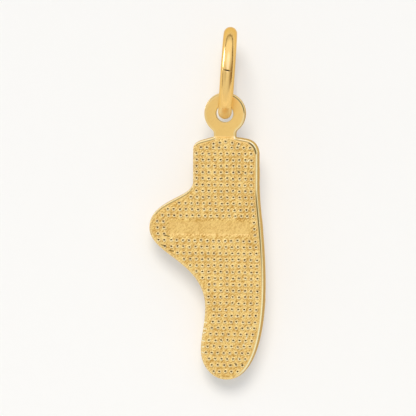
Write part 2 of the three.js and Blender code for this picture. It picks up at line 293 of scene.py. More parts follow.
class NodeTree:
    """Adds nodes to the tree of a material or a world."""

    def __init__(self, owner):
        owner.use_nodes = True
        self.nodes = owner.node_tree.nodes
        self.links = owner.node_tree.links
        self.nodes.clear()

    def node(self, kind, settings=None, sockets=None, output=0):
        node = self.nodes.new(kind)
        for name, value in (settings or {}).items():
            setattr(node, name, value)
        for name, value in (sockets or {}).items():
            if isinstance(value, Wire):
                self.links.new(value.socket, node.inputs[name])
            else:
                node.inputs[name].default_value = value
        return Wire(self, node.outputs[output]) if node.outputs else None

    def noise(self, where, size, detail=2.0, roughness=0.5):
        """Smooth noise from 0 to 1 whose patches are about size wide."""
        sockets = {"Vector": where, "Scale": 1 / size, "Detail": detail, "Roughness": roughness}
        return self.node("ShaderNodeTexNoise", None, sockets)

    def streaks(self, where, size, tilt=0.0):
        """Noise drawn out to a size along each axis and tilted in the plane of the back."""
        sockets = {"Vector": where, "Rotation": (0, tilt, 0), "Scale": size}
        drawn = self.node("ShaderNodeMapping", {"vector_type": "TEXTURE"}, sockets)
        return self.noise(drawn, 1.0, 3.0, 0.6)

    def rise(self, value, low, high):
        """0 below low, 1 above high, with a smooth rise between."""
        settings = {"interpolation_type": "SMOOTHSTEP", "clamp": True}
        sockets = {"Value": value, "From Min": low, "From Max": high, "To Min": 0.0, "To Max": 1.0}
        return self.node("ShaderNodeMapRange", settings, sockets)

    def along(self, where, direction):
        """How far a direction points along a fixed one."""
        sockets = {0: where, 1: tuple(direction.normalized())}
        return self.node("ShaderNodeVectorMath", {"operation": "DOT_PRODUCT"}, sockets, output="Value")

    def cone(self, where, direction, wide, narrow):
        """1 within a narrow angle of a direction, 0 beyond a wide one, both in degrees."""
        near, far = math.cos(math.radians(narrow)), math.cos(math.radians(wide))
        return self.rise(self.along(where, direction), far, near)

    def blend(self, factor, first, second):
        """The first colour where factor is 0, the second where it is 1."""
        settings = {"data_type": "RGBA", "blend_type": "MIX", "clamp_factor": True}
        first, second = (value if isinstance(value, Wire) else (*value, 1) for value in (first, second))
        return self.node("ShaderNodeMix", settings, {0: factor, 6: first, 7: second}, output=2)

    def layers(self, body, covers):
        """A colour with others laid over it in turn, each by its own share."""
        for factor, cover in covers:
            body = self.blend(factor, body, cover)
        return body

    def attribute(self, name):
        return self.node("ShaderNodeAttribute", {"attribute_name": name}, output="Fac")

    def ray(self, kind):
        """1 for rays of a kind, 0 for all others."""
        return self.node("ShaderNodeLightPath", output=f"Is {kind} Ray")

    def mix(self, factor, first, second):
        """The first surface where factor is 0, the second where it is 1."""
        return self.node("ShaderNodeMixShader", None, {0: factor, 1: first, 2: second})

    def gold(self, body, roughness, height, distance):
        """Ends a material as metal whose bumps are a distance high."""
        sockets = {"Strength": 1.0, "Distance": distance, "Height": height}
        normal = self.node("ShaderNodeBump", None, sockets)
        sockets = {
            "Base Color": body, "Metallic": 1.0, "Roughness": roughness, "Normal": normal,
            "Specular Tint": GRAZING_TINT,
        }
        surface = self.node("ShaderNodeBsdfPrincipled", None, sockets)
        self.node("ShaderNodeOutputMaterial", None, {"Surface": surface})


# Materials

def start_material(name):
    material = bpy.data.materials.new(name)
    tree = NodeTree(material)
    return material, tree, tree.node("ShaderNodeTexCoord", output="Object")


def struck_gold(finish):
    """Satin with fine grain on the pitted field, polished on the eye, the edge and the raised front."""
    material, tree, where = start_material("struck_gold")
    polish, wear_and_highlight = tree.attribute("polish"), tree.attribute("wear_and_highlight")
    satin = 1 - polish
    ripple = tree.streaks(where, (0.26 * MM, 0.075 * MM, 0.075 * MM), math.radians(-45))
    shear = tree.streaks(where, (0.035 * MM, 1.6 * MM, 0.035 * MM))
    grain = tree.noise(where, 0.1 * MM, 3.0, 0.6)
    fine = tree.noise(where, 0.045 * MM)
    smears = tree.noise(where, 0.5 * MM)
    mottle = grain * 0.45 + ripple * 0.45 + tree.noise(where, 0.8 * MM) * 0.1
    # The grain's colour follows its bumps: painted shade, darker and more orange, in its low places and a
    # painted highlight on each crest.
    shaded_lows = tree.rise(mottle, 0.53, 0.4) * (satin * 0.9 + 0.1)
    crests = tree.rise(mottle, 0.49, 0.59) * satin
    body = tree.layers(finish.struck, (
        (shaded_lows, finish.warm_shade_and_smear),
        (crests, finish.crest),
        # Painted shade beyond the pits' lips and along the rim's right side.
        (tree.attribute("shade"), finish.shade),
        # Painted highlight on the pits' lips and rim lines, with burnish from wear on the edges and nicks.
        (wear_and_highlight, finish.burnish_and_highlight),
        # Painted shade deep in the pits, the hollows and the dark rim lines.
        (tree.attribute("deep_shade"), finish.deep_shade),
    ))
    roughness = (finish.satin + 0.12 * (grain - 0.5)) * satin + (finish.tumbled + 0.08 * smears) * polish
    height = (ripple * 0.8 + grain + fine * 0.3) * (satin * 0.95 + 0.05)
    height = height + 0.5 * shear * tree.attribute("wall")
    tree.gold(body, roughness * (1 - wear_and_highlight * 0.55), height, 0.045 * MM)
    return material


def wire_gold(finish):
    """Drawn and tumbled wire: bright, with faint scratches and dull smears. Its bottom, where the eye hangs,
    is painted pale, both as burnish where it rubs and as a painted highlight, and the cut is painted dark as
    shade.
    """
    material, tree, where = start_material("wire_gold")
    smears = tree.noise(where, 0.7 * MM, 3.0)
    scratches = tree.noise(where, 0.06 * MM)
    rub_and_highlight = tree.attribute("wear_and_highlight")
    body = tree.layers(finish.wire, (
        (smears * 0.16, finish.warm_shade_and_smear),
        (rub_and_highlight * 0.6, finish.burnish_and_highlight),
        (tree.attribute("deep_shade"), finish.deep_shade),
    ))
    tree.gold(body, finish.polished + 0.06 * smears + 0.3 * rub_and_highlight, scratches, 0.0008 * MM)
    return material


def paper_material(settings):
    """Pale paper, clear when seen from behind so that the charm's front can be looked at."""
    material, tree, where = start_material("paper")
    tone = tree.blend(tree.noise(where, 0.4 * MM, 3.0) * 0.06, settings.paper, settings.fibres)
    sockets = {"Base Color": tone, "Roughness": 0.9, "Specular IOR Level": 0.0}
    sheet = tree.node("ShaderNodeBsdfPrincipled", None, sockets)
    white = tree.node("ShaderNodeEmission", None, {"Color": (*settings.white, 1), "Strength": 1.0})
    sheet = tree.mix((tree.ray("Camera") + tree.ray("Glossy")) * settings.whitening, sheet, white)
    clear = tree.node("ShaderNodeBsdfTransparent")
    behind = tree.node("ShaderNodeNewGeometry", output="Backfacing")
    tree.node("ShaderNodeOutputMaterial", None, {"Surface": tree.mix(behind, sheet, clear)})
    material.cycles.emission_sampling = "NONE"
    return material


# Plane curves, as rows of [across, up] measured from the middle of the hole

CURVE_SAMPLES = 40


def curve(*controls):
    """A Bezier curve through the first and last of its control points."""
    points = [np.array(control, float) for control in controls]
    steps = np.linspace(0, 1, CURVE_SAMPLES)[:, None]
    while len(points) > 1:
        points = [a + (b - a) * steps for a, b in zip(points, points[1:])]
    return points[0]


def stretch(start, pull, end):
    """A curve between two places where the outline runs straight down."""
    return curve(start, (start[0], start[1] - pull[0]), (end[0], end[1] + pull[1]), end)


def toe_stretch(start, pull, tip):
    """The same down to the tip, where the outline runs level."""
    side = math.copysign(pull[1], start[0])
    return curve(start, (start[0], start[1] - pull[0]), (tip[0] + side, tip[1]), tip)


def body_back_edge(s):
    """From the back shoulder down the ankle, round the heel and along the sole to the tip."""
    top = -s.top_drop - s.back_start
    return np.vstack([
        curve(
            (-s.ankle_back + s.back_shoulder, top),
            (-s.ankle_back, top - s.back_tilt),
            (-s.ankle_back, top - s.back_shoulder),
        ),
        stretch(s.ankle_back_end, s.heel_slope_pulls, s.heel),
        stretch(s.heel, s.sole_pulls, s.arch),
        stretch(s.arch, s.ball_pulls, s.ball),
        toe_stretch(s.ball, s.toe_back_pulls, s.tip),
    ])


def body_front_edge(s):
    """From the front shoulder down the ankle and along the instep to the tip."""
    top = -s.top_drop - s.front_start
    return np.vstack([
        curve(
            (s.ankle_front - s.front_shoulder, top),
            (s.ankle_front - s.front_tuck, top - s.front_tilt),
            (s.ankle_front, top - s.front_shoulder),
        ),
        stretch(s.ankle_front_end, s.instep_pulls, s.instep),
        toe_stretch(s.instep, s.toe_front_pulls, s.tip),
    ])


def body_outline(s, eye):
    """The slipper without its eye, with a level top edge under the neck."""
    half = eye.neck_width / 2 + eye.root_round
    level = np.array([(half, -s.top_drop), (-half, -s.top_drop)])
    return even_loop(np.vstack([level, body_back_edge(s), body_front_edge(s)[::-1]]))


def neck_side(s, eye):
    """From the end of the eye's round down to the root of the neck, on the instep's side."""
    radius, half = eye.diameter / 2, eye.neck_width / 2
    end = (radius * math.cos(eye.end_angle), radius * math.sin(eye.end_angle))
    run = (end[0] - half) / math.tan(-eye.end_angle)
    root = -s.top_drop
    return np.vstack([
        curve(end, (half, end[1] - run), (half, -eye.neck_drop)),
        curve((half, root + eye.root_round), (half, root), (half + eye.root_round, root)),
    ])


def whole_outline(s, eye):
    """Eye, neck and slipper in one loop that runs anticlockwise seen from the back."""
    turn = np.linspace(eye.end_angle, math.pi - eye.end_angle, 4 * CURVE_SAMPLES)
    arc = eye.diameter / 2 * np.column_stack([np.cos(turn), np.sin(turn)])
    right = neck_side(s, eye)
    left = right * (-1, 1)
    return even_loop(np.vstack([arc, left, body_back_edge(s), body_front_edge(s)[::-1], right[::-1]]))


LOOP_SPACING = 0.05 * MM

# Points no farther apart than this count as one
SAME_PLACE = 1e-9


def even_loop(points):
    """The same closed loop with evenly spaced points."""
    closed = np.vstack([points, points[:1]])
    steps = np.linalg.norm(np.diff(closed, axis=0), axis=1)
    closed = closed[np.append(steps > SAME_PLACE, True)]
    along = np.append(0, np.cumsum(np.linalg.norm(np.diff(closed, axis=0), axis=1)))
    count = round(along[-1] / LOOP_SPACING)
    marks = np.arange(count) * along[-1] / count
    return np.column_stack([np.interp(marks, along, closed[:, k]) for k in (0, 1)])


def into_metal(loop):
    """Unit directions at a loop's points, to the left of the way it runs."""
    along = np.roll(loop, -1, axis=0) - np.roll(loop, 1, axis=0)
    along /= np.linalg.norm(along, axis=1)[:, None]
    return np.column_stack([-along[:, 1], along[:, 0]])


def nearest(points, places):
    """For each point, the distance to the nearest of some places and which one it is."""
    tree = KDTree(len(places))
    for number, (x, y) in enumerate(places.tolist()):
        tree.insert((x, y, 0), number)
    tree.balance()
    found = [tree.find((x, y, 0)) for x, y in points.tolist()]
    return np.array([hit[2] for hit in found]), np.array([hit[1] for hit in found])


def near(points, places, low, high):
    """1 within low of the nearest place, 0 beyond high."""
    return 1 - ease(nearest(points, places)[0], low, high)


BATCH_SIZE = 4000


def inside_loop(points, loop):
    """Whether each point lies inside a closed loop."""
    start, end = loop, np.roll(loop, -1, axis=0)
    level = end[:, 1] == start[:, 1]
    slope = (end[:, 0] - start[:, 0]) / np.where(level, 1, end[:, 1] - start[:, 1])
    answers = []
    for first in range(0, len(points), BATCH_SIZE):
        x, y = np.hsplit(points[first:first + BATCH_SIZE], 2)
        crosses = (start[:, 1] > y) != (end[:, 1] > y)
        answers.append((crosses & (x < start[:, 0] + (y - start[:, 1]) * slope)).sum(axis=1) % 2 == 1)
    return np.concatenate(answers)


def stripe(value, middle, width):
    """1 where the value is at the middle, falling off smoothly to either side."""
    return np.exp(-((value - middle) / width) ** 2)


def ease(value, low, high):
    """0 below low, 1 above high, with a smooth rise between."""
    part = np.clip((value - low) / (high - low), 0, 1)
    return part * part * (3 - 2 * part)


# The pitted back

# The first row of pits arches under the eye. Across and up, in millimetres from the hole's middle
ARCHED_ROW = ((-0.712, -1.978), (-0.319, -1.874), (0.08, -1.796), (0.499, -1.9), (0.924, -1.952))


def pit_places(settings, body):
    """Middles of the pits. Rows start from the instep's edge and run to the sole's."""
    s, back = settings.outline, settings.back
    random = np.random.default_rng(settings.seed)
    left, right = body_back_edge(s), body_front_edge(s)
    places = []
    for row in range(math.floor((-s.tip[1] - back.first_row) / back.row_pitch)):
        up = -back.first_row - row * back.row_pitch
        start = np.interp(-up, -right[:, 1], right[:, 0]) - back.instep_margin
        end = np.interp(-up, -left[:, 1], left[:, 0])
        count = math.floor((start - end) / back.column_pitch) + 1
        across = start - back.column_pitch * np.arange(count)
        fall = (across - start) * math.tan(back.row_tilt)
        places.append(np.column_stack([across, up - fall]))
    places = np.vstack(places)
    places = places[inside_loop(places, body)]
    places = places[nearest(places, body)[0] > back.sole_margin]
    places = np.vstack([np.array(ARCHED_ROW) * MM, places[inside_band(places, back) <= 0]])
    return places + random.normal(0, back.wander, places.shape)


def inside_band(points, back):
    """How far inside the bare struck band each point lies, less than 0 outside it."""
    return np.minimum(points - np.array(back.band_low), np.array(back.band_high) - points).min(axis=1)


def band_share(points, back):
    """1 on the floor of the bare struck band, 0 outside it."""
    return ease(inside_band(points, back), 0, back.band_edge)


def pit_depth(distance, back):
    """How far the back lies below the field at some distance from a pit's middle."""
    part = np.clip(distance / back.pit_radius, 0, 1)
    across = np.clip((distance - back.pit_radius) / back.lip_width, 0, 1)
    bowl = (back.pit_depth + back.lip_height) * (1 + np.cos(math.pi * part)) / 2
    lip = back.lip_height * (1 + np.cos(math.pi * across)) / 2
    return bowl - lip


# Where wear has left nicks: across and up at the start and the end of each, in millimetres from the
# middle of the hole
DULL_NICKS = (
    (-3.94, -7.93, -3.62, -8.02), (-4.12, -8.58, -3.82, -8.66), (-3.62, -8.93, -3.34, -8.98),
    (2.24, -6.98, 2.4, -7.02), (0.44, -16.36, 0.5, -16.4), (0.68, -16.26, 0.74, -16.28),
    (1.12, -16.3, 1.2, -16.32), (0.86, -3.72, 0.92, -3.74), (1.2, -3.76, 1.26, -3.78),
    (-0.2, -4.2, -0.14, -4.22),
)
BRIGHT_NICKS = (
    (-1.3, -13.6, -1.18, -13.62), (-1.34, -14, -1.18, -14.04), (-1.38, -14.3, -1.24, -14.26),
    (-1.44, -14.8, -1.3, -14.83), (-1.47, -15.2, -1.32, -15.18), (-1.46, -15.56, -1.34, -15.6),
    (1.76, -13.86, 1.7, -13.96), (1.5, -14.5, 1.44, -14.58), (1.28, -15, 1.26, -15.08),
    (1.1, -15.3, 1.02, -15.36), (0.96, -15.9, 0.9, -15.98), (-0.66, -1.58, -0.62, -1.62),
    (0.8, -1.56, 0.84, -1.6), (1.5, -3.1, 1.6, -2.98),
)
NICK_SPACING = 0.04 * MM


def nick_places(nicks):
    """Middles of small dents that run into each other along every nick."""
    places = []
    for start, end in np.reshape(nicks, (-1, 2, 2)) * MM:
        count = max(2, round(np.linalg.norm(end - start) / NICK_SPACING))
        places.append(np.linspace(start, end, count))
    return np.vstack(places)


def ring_points(middles, radius, rings):
    """Points in rings round each middle."""
    found = []
    for share, count in rings:
        turn = 2 * math.pi * (np.arange(count) + 0.5 * (count % 4)) / count
        ring = share * radius * np.column_stack([np.cos(turn), np.sin(turn)])
        found.append((middles[:, None] + ring).reshape(-1, 2))
    return np.vstack(found)


# The modelled front, which the back view hides

def opening_height(across, front):
    """Height of the shoe's opening, a parabola through its three places."""
    spots = np.array([tuple(spot) for spot in (front.opening_heel, front.opening_side, front.opening_vamp)])
    bends = np.polyfit(*(spots / MM).T, 2)
    return np.polyval(bends, across / MM) * MM


def distance_to_line(points, start, end):
    side = end - start
    part = np.clip(((points - start) @ side) / (side @ side), 0, 1)
    return np.linalg.norm(points - start - part[:, None] * side, axis=1)


# Where the middle line of each ribbon starts and ends
RIBBONS = MM * np.array([
    ((-2.1, -8.4), (2.3, -5.1)),
    ((-3.1, -5.35), (2.4, -7.3)),
    ((-2.3, -3.55), (2.4, -3.95)),
])


def ribbon_height(points, front, line):
    """A flat ribbon with rolled edges and fine lengthwise folds."""
    distance = distance_to_line(points, *line)
    half = front.ribbon_width / 2
    flat = 1 - ease(distance, half - front.step_blur / 2, half + front.step_blur / 2)
    roll = stripe(distance, 0.8 * half, 0.16 * half)
    folds = np.cos(distance / half * 4 * math.pi)
    return front.ribbon_height * flat * (0.86 + 0.16 * roll + 0.03 * folds)


def front_relief(points, front, body):
    """How far the front stands above the slipper's back."""
    inside = np.clip(nearest(points, body)[0] / front.dome_run, 0, 1)
    dome = front.dome_height * (2 * inside - inside ** 2)
    step = 0.01 * MM
    across, up = points.T
    height = opening_height(across, front)
    slope = (opening_height(across + step, front) - height) / step
    into_shoe = (height - up) / np.hypot(1, slope)
    blur = front.step_blur / 2
    shoe = front.shoe_step * ease(into_shoe, -blur, blur)
    off_binding = np.clip(np.abs(into_shoe / front.binding_width - 0.5) * 2, 0, 1)
    binding = front.binding_height * np.sqrt(1 - off_binding ** 2)
    ribbons = [ribbon_height(points, front, line) for line in RIBBONS]
    from_knot = np.linalg.norm(points - np.array(front.knot), axis=1) / front.knot_size * 2
    knot = front.knot_height * np.sqrt(1 - np.clip(from_knot, 0, 1) ** 2)
    pleats = toe_pleats(points, front, into_shoe)
    return front.rim_thickness + dome + np.maximum.reduce([shoe + binding + pleats, knot, *ribbons])


GATHER = np.array((0.3, -18.2)) * MM
PLEATS = 26
PLEAT_DEPTH = 0.025 * MM


def toe_pleats(points, front, into_shoe):
    """Shallow gathers that run out from under the toe."""
    across, up = (points - GATHER).T
    fade = 1 - ease(np.hypot(across, up), 1.4 * MM, 3.4 * MM)
    fade *= ease(into_shoe, 0, front.binding_width)
    return PLEAT_DEPTH * fade * np.cos(PLEATS * np.arctan2(up, across))


# Solid from loops and faces

class Shell:
    """Gathers the points and faces of one closed mesh."""

    def __init__(self):
        self.points = []
        self.faces = []

    def add(self, plane_points, depth):
        """Adds points across and up in the back's plane, at a depth, and returns their numbers."""
        start = sum(len(rows) for rows in self.points)
        self.points.append(np.column_stack([plane_points[:, 0], depth, plane_points[:, 1]]))
        return np.arange(start, start + len(plane_points))

    def add_rings(self, rings):
        """Adds rings of points and depths, each joined to the next, and returns their numbers."""
        rows = [self.add(points, depth) for points, depth in rings]
        for nearer, farther in zip(rows, rows[1:]):
            quads = np.column_stack([nearer, farther, np.roll(farther, -1), np.roll(nearer, -1)])
            self.faces.extend(quads.tolist())
        return rows


# What the triangulation works with: its kind of output, and its precision in millimetres
WHOLE_HULL = 0
PRECISION = 1e-6


def triangulate(loops, extra):
    """Triangles over the area between the outer loop and the hole's, using the extra points too."""
    points = np.vstack([*loops, extra])
    edges = []
    start = 0
    for loop in loops:
        numbers = np.arange(start, start + len(loop))
        edges.extend(np.column_stack([numbers, np.roll(numbers, -1)]).tolist())
        start += len(loop)
    scaled = [Vector(point) for point in (points / MM).tolist()]
    found = delaunay_2d_cdt(scaled, edges, [], WHOLE_HULL, PRECISION)
    origin = [ids[0] if ids else -1 for ids in found[3]]
    if min(origin) < 0 or len(origin) != len(points):
        raise RuntimeError("two outlines of the slipper cross")
    faces = np.array(origin)[np.array(found[2])]
    middles = points[faces].mean(axis=1)
    hole_radius = np.linalg.norm(loops[1][0]) - SAME_PLACE
    return faces[inside_loop(middles, loops[0]) & (np.linalg.norm(middles, axis=1) > hole_radius)]


def face_grid(surface, loop):
    """Points of a regular grid that lie well inside a loop and clear of the hole."""
    margin = GRID_SPACING / 2
    hole_radius = surface.settings.eye.hole_diameter / 2 + HOLE_ROUND
    low, high = loop.min(axis=0), loop.max(axis=0)
    across = np.arange(low[0], high[0], GRID_SPACING)
    up = np.arange(low[1], high[1], GRID_SPACING * math.sqrt(0.75))
    grid = np.vstack([
        np.column_stack([across + margin * (i % 2), np.full(len(across), y)]) for i, y in enumerate(up)
    ])
    grid = grid[inside_loop(grid, loop)]
    grid = grid[nearest(grid, loop)[0] > margin]
    return grid[np.linalg.norm(grid, axis=1) > hole_radius + margin]


# Profiles of an edge, as shares of its width and depth, from the face to the wall
SLOPED_EDGE = (
    (1, 0), (0.97, 0.002), (0.9, 0.006), (0.8, 0.013), (0.7, 0.022), (0.5, 0.05), (0.42, 0.075),
    (0.3, 0.25), (0.14, 0.6), (0.05, 0.85), (0, 1),
)
ROUND_EDGE = tuple((1 - math.cos(turn), 1 - math.sin(turn)) for turn in np.linspace(math.pi / 2, 0, 6))
WALL_STEPS = 4
HOLE_SIDES = 72
HOLE_ROUND = 0.035 * MM
GRID_SPACING = 0.06 * MM

# How far inside the outline the rows of points along the rim run
RIM_ROWS = np.array((0.105, 0.125, 0.145, 0.165, 0.19, 0.215, 0.245, 0.28)) * MM

# Rings of points round each pit and nick: their radii as shares of its own, and the points in each
PIT_RINGS = ((0.02, 3), (0.28, 6), (0.55, 9), (0.8, 12), (1, 12), (1.25, 12), (1.5, 12), (1.8, 12))
NICK_RINGS = ((0.3, 4), (0.9, 8))

# Directions across and up: where the raised rim faces, and the eye's top
RIM_FACING = np.array((0.82, 0.57))
TOP_FACING = np.array((-0.3, 0.95))

# Points deeper than this belong to the front
FRONT_DEPTH = 0.45 * MM


class SlipperSurface:
    """Depths of the slipper's back and front, measured from the back face forwards."""

    def __init__(self, settings):
        self.settings = settings
        self.body = body_outline(settings.outline, settings.eye)
        self.outline = whole_outline(settings.outline, settings.eye)
        self.outwards = -into_metal(self.outline)
        self.pits = pit_places(settings, self.body)
        self.dull_nicks = nick_places(DULL_NICKS)
        self.bright_nicks = nick_places(BRIGHT_NICKS)
        self.nicks = np.vstack([self.dull_nicks, self.bright_nicks])
        random = np.random.default_rng(settings.seed + 1)
        back = settings.back
        offset = np.array((back.column_pitch, -back.row_pitch)) / 2
        self.hollows = self.pits + offset + random.normal(0, 3 * back.wander, self.pits.shape)
        self.hollow_strength = random.uniform(-0.3, 1, len(self.pits))
        self.pit_strength = random.uniform(0.8, 1.1, len(self.pits))

    def below_top(self, points):
        """1 on the slipper, 0 on the eye and neck."""
        edge = -self.settings.outline.top_drop
        return ease(edge - points[:, 1], -0.07 * MM, 0.08 * MM)

    def rim_share(self, points):
        """1 on the raised rim, which fades out where the outline faces the sole's side."""
        back = self.settings.back
        margin, which = nearest(points, self.outline)
        strength = 0.2 + 0.8 * ease(self.outwards[which] @ RIM_FACING, -0.35, 0.35)
        return margin, strength * (1 - ease(margin, back.rim_width - back.rim_slope, back.rim_width))

    def back(self, points):
        back, eye = self.settings.back, self.settings.eye
        distance, which = nearest(points, self.pits)
        pits = pit_depth(distance, back) * self.pit_strength[which]
        distance, which = nearest(points, self.hollows)
        hollow = back.hollow_depth * (1 - ease(distance, 0, back.hollow_radius))
        band = band_share(points, back)
        hollow *= self.hollow_strength[which] * (1 - band)
        dent = back.nick_depth * near(points, self.nicks, 0, back.nick_radius)
        margin, rim = self.rim_share(points)
        struck = (pits + hollow) * ease(margin, 0.12 * MM, 0.26 * MM)
        slipper = struck + dent + back.band_depth * band + back.field_depth * (1 - rim)
        crown = 0.035 * MM * (points ** 2).sum(axis=1) / (eye.diameter / 2) ** 2
        on_slipper = self.below_top(points)
        return slipper * on_slipper + (eye.set_in + crown) * (1 - on_slipper)

    def deep_shade(self, points):
        """How dark a point is painted, from 0 to 1: painted shade in each pit's upper side, which faces down,
        and in the faint hollows between pits, and dark in the dull nicks.
        """
        back = self.settings.back
        radius = back.pit_radius
        flat = np.array((0.82, 1.25))
        lowered = points - np.array((0, 0.1 * radius))
        pit = near(lowered * flat, self.pits * flat, 0.35 * radius, 0.9 * radius)
        distance, which = nearest(points, self.hollows)
        hollow = 0.4 * (1 - ease(distance, 0, 0.8 * back.hollow_radius)) * (1 - band_share(points, back))
        hollow *= np.clip(self.hollow_strength[which], 0, 1)
        nick = near(points, self.dull_nicks, 0, back.nick_radius)
        return np.maximum.reduce([pit, hollow, nick])

    def rim_lines(self, points):
        """Lines along the rim that depend on which way the outline faces, each from 0 to 1: a painted
        highlight, a dark line of painted shade and a brown line of painted shade.
        """
        margin, which = nearest(points, self.outline)
        margin /= (0.55 + 0.45 * self.below_top(points)) * MM
        facing = self.outwards[which]
        across, up = points.T / MM
        clear_of_neck = np.maximum(ease(across, 0.95, 1.1), ease(up, -0.95, -0.75))
        corner = ease(facing @ RIM_FACING, 0.8, 0.93) * clear_of_neck
        side = ease(facing[:, 0], 0.3, 0.8)
        top = ease(facing @ TOP_FACING, 0.6, 0.95)
        # Painted highlights where the rim faces the right, the top right corner and the eye's top.
        bright = np.maximum.reduce([
            side * stripe(margin, 0.105, 0.048),
            corner * stripe(margin, 0.065, 0.045),
            0.6 * corner * stripe(margin, 0.205, 0.025),
            0.7 * top * stripe(margin, 0.06, 0.05),
        ])
        # Painted shade: a dark line inside the highlights at the top right corner and the eye's top.
        dull = np.maximum(
            np.minimum(1, 2.4 * corner * stripe(margin, 0.15, 0.04)),
            0.6 * top * stripe(margin, 0.13, 0.035),
        )
        # Painted shade: a line at the very edge on the right side.
        brown = 0.6 * side * (1 - corner) * stripe(margin, 0.03, 0.03)
        return bright, dull, brown

    def wear_and_highlight(self, points):
        """How pale a point is painted: a painted highlight on the pits' lips, stronger below each pit,
        burnish from wear along the edge, and pale in the bright nicks.
        """
        back = self.settings.back
        distance, which = nearest(points, self.pits)
        below = (self.pits[which][:, 1] - points[:, 1]) / back.pit_radius
        # Painted highlight round each pit's lip, stronger on its lower side, which faces up.
        lip = stripe(distance / back.pit_radius, 1.05, 0.28) * (0.45 + 0.5 * ease(below, -0.2, 0.8))
        nick = near(points, self.bright_nicks, 0.3 * back.nick_radius, back.nick_radius)
        edge = near(points, self.outline, 0.12 * MM, 0.2 * MM)
        return np.maximum.reduce([lip * self.below_top(points) * (1 - edge), nick, 0.2 * edge])

    def shade(self, points):
        """Painted shade: 1 on the lower side of the pits' lips, towards the instep, 0 elsewhere."""
        radius = self.settings.back.pit_radius
        moved = points - radius * np.array((0.45, -1.1))
        inside = near(points, self.pits, 1.25 * radius, 1.55 * radius)
        return near(moved, self.pits, 0.4 * radius, 1.1 * radius) * (1 - inside)

    def satin(self, points):
        """1 on the grained field, less on the bare band and the rim, 0 on the eye and the neck."""
        band = 0.55 * band_share(points, self.settings.back)
        return self.below_top(points) * (1 - np.maximum(0.85 * self.rim_share(points)[1], band))

    def front(self, points):
        eye = self.settings.eye
        edge = -self.settings.outline.top_drop
        on_slipper = ease(edge - points[:, 1], -0.01 * MM, 0.07 * MM)
        low = eye.set_in + eye.thickness
        return low + (front_relief(points, self.settings.front, self.body) - low) * on_slipper

    def front_hollow(self, points):
        """How far a point of the front lies below what is round it, from 0 to 1."""
        turns = np.arange(6) * math.pi / 3
        around = 0.1 * MM * np.column_stack([np.cos(turns), np.sin(turns)])
        sunk = sum(self.front(points + step) for step in around) / len(around) - self.front(points)
        margin = nearest(points, self.outline)[0]
        return np.clip(sunk / (0.02 * MM), 0, 1) * ease(margin, 0.08 * MM, 0.2 * MM)

    def marks(self, points, depth):
        """The values that the gold's nodes read, for points in the back's plane and their depth."""
        front_half = depth > FRONT_DEPTH
        at_edge = near(points, self.outline, 0.004 * MM, 0.03 * MM)
        reach = np.linalg.norm(points, axis=1) - self.settings.eye.hole_diameter / 2
        in_hole = 1 - ease(reach, 0.2 * HOLE_ROUND, HOLE_ROUND)
        wall_start = self.settings.back.edge_depth
        wall = at_edge * ease(depth, wall_start, wall_start + 0.14 * MM)
        bright, dull, brown = self.rim_lines(points)
        satin = self.satin(points)
        # Painted shade beyond the pits' lips and in the line along the rim's right side.
        shade = np.maximum(0.8 * self.shade(points) * satin, brown)
        # Painted highlights on the pits' lips and rim lines with burnish from wear, less where the painted
        # dark lines run.
        wear_and_highlight = np.where(front_half, 0.2, np.maximum(self.wear_and_highlight(points), bright) * (1 - dull))
        deep_shade = np.maximum(self.deep_shade(points) * satin, 0.9 * dull)
        # Painted shade in the front's hollows.
        deep_shade = np.where(front_half, 0.8 * self.front_hollow(points), deep_shade)
        polish = 1 - np.where(front_half, 0.25, satin)
        return {
            # The hole's wall is painted pale, as burnish where the ring rubs and as a painted highlight.
            "wear_and_highlight": np.maximum(wear_and_highlight * (1 - at_edge), in_hole),
            "shade": np.where(front_half, 0, shade),
            "wall": wall,
            "polish": np.maximum(polish * (1 - 0.5 * at_edge), 0.9 * wall),
            # Painted shade along the outer edge and a little in the hole.
            "deep_shade": np.maximum.reduce([deep_shade, 0.15 * in_hole, 0.3 * at_edge]),
        }


def hole_loop(eye):
    turn = -2 * math.pi * np.arange(HOLE_SIDES) / HOLE_SIDES
    return eye.hole_diameter / 2 * np.column_stack([np.cos(turn), np.sin(turn)])


def edge_rings(surface, loop, profile, width, depth, front_round):
    """Back edge, wall and rounded front edge along a loop, as rings of points and depths."""
    inward = into_metal(loop)
    rings = []
    for inset, drop in profile:
        points = loop + inward * width * inset
        rings.append((points, surface.back(points) + depth * drop))
    front = []
    for inset, drop in ROUND_EDGE:
        points = loop + inward * front_round * inset
        front.append((points, surface.front(points) - front_round * drop))
    nearer, farther = rings[-1][1], front[-1][1]
    for part in np.arange(1, WALL_STEPS) / WALL_STEPS:
        rings.append((loop, nearer * (1 - part) + farther * part))
    return rings + front[::-1]


def back_points(surface, edge):
    """Points inside the back's edge: a grid, rings round pits and nicks, and rows along the rim."""
    back = surface.settings.back
    grid = face_grid(surface, edge)
    widest = PIT_RINGS[-1][0] * back.pit_radius
    grid = grid[nearest(grid, surface.pits)[0] > widest + GRID_SPACING / 3]
    grid = grid[nearest(grid, surface.outline)[0] > RIM_ROWS[-1] + GRID_SPACING / 2]
    points = np.vstack([
        grid,
        ring_points(surface.pits, back.pit_radius, PIT_RINGS),
        ring_points(surface.nicks, back.nick_radius, NICK_RINGS),
        *(surface.outline - surface.outwards * inset for inset in RIM_ROWS),
    ])
    points = points[nearest(points, edge)[0] > 0.01 * MM]
    return points[inside_loop(points, edge)]


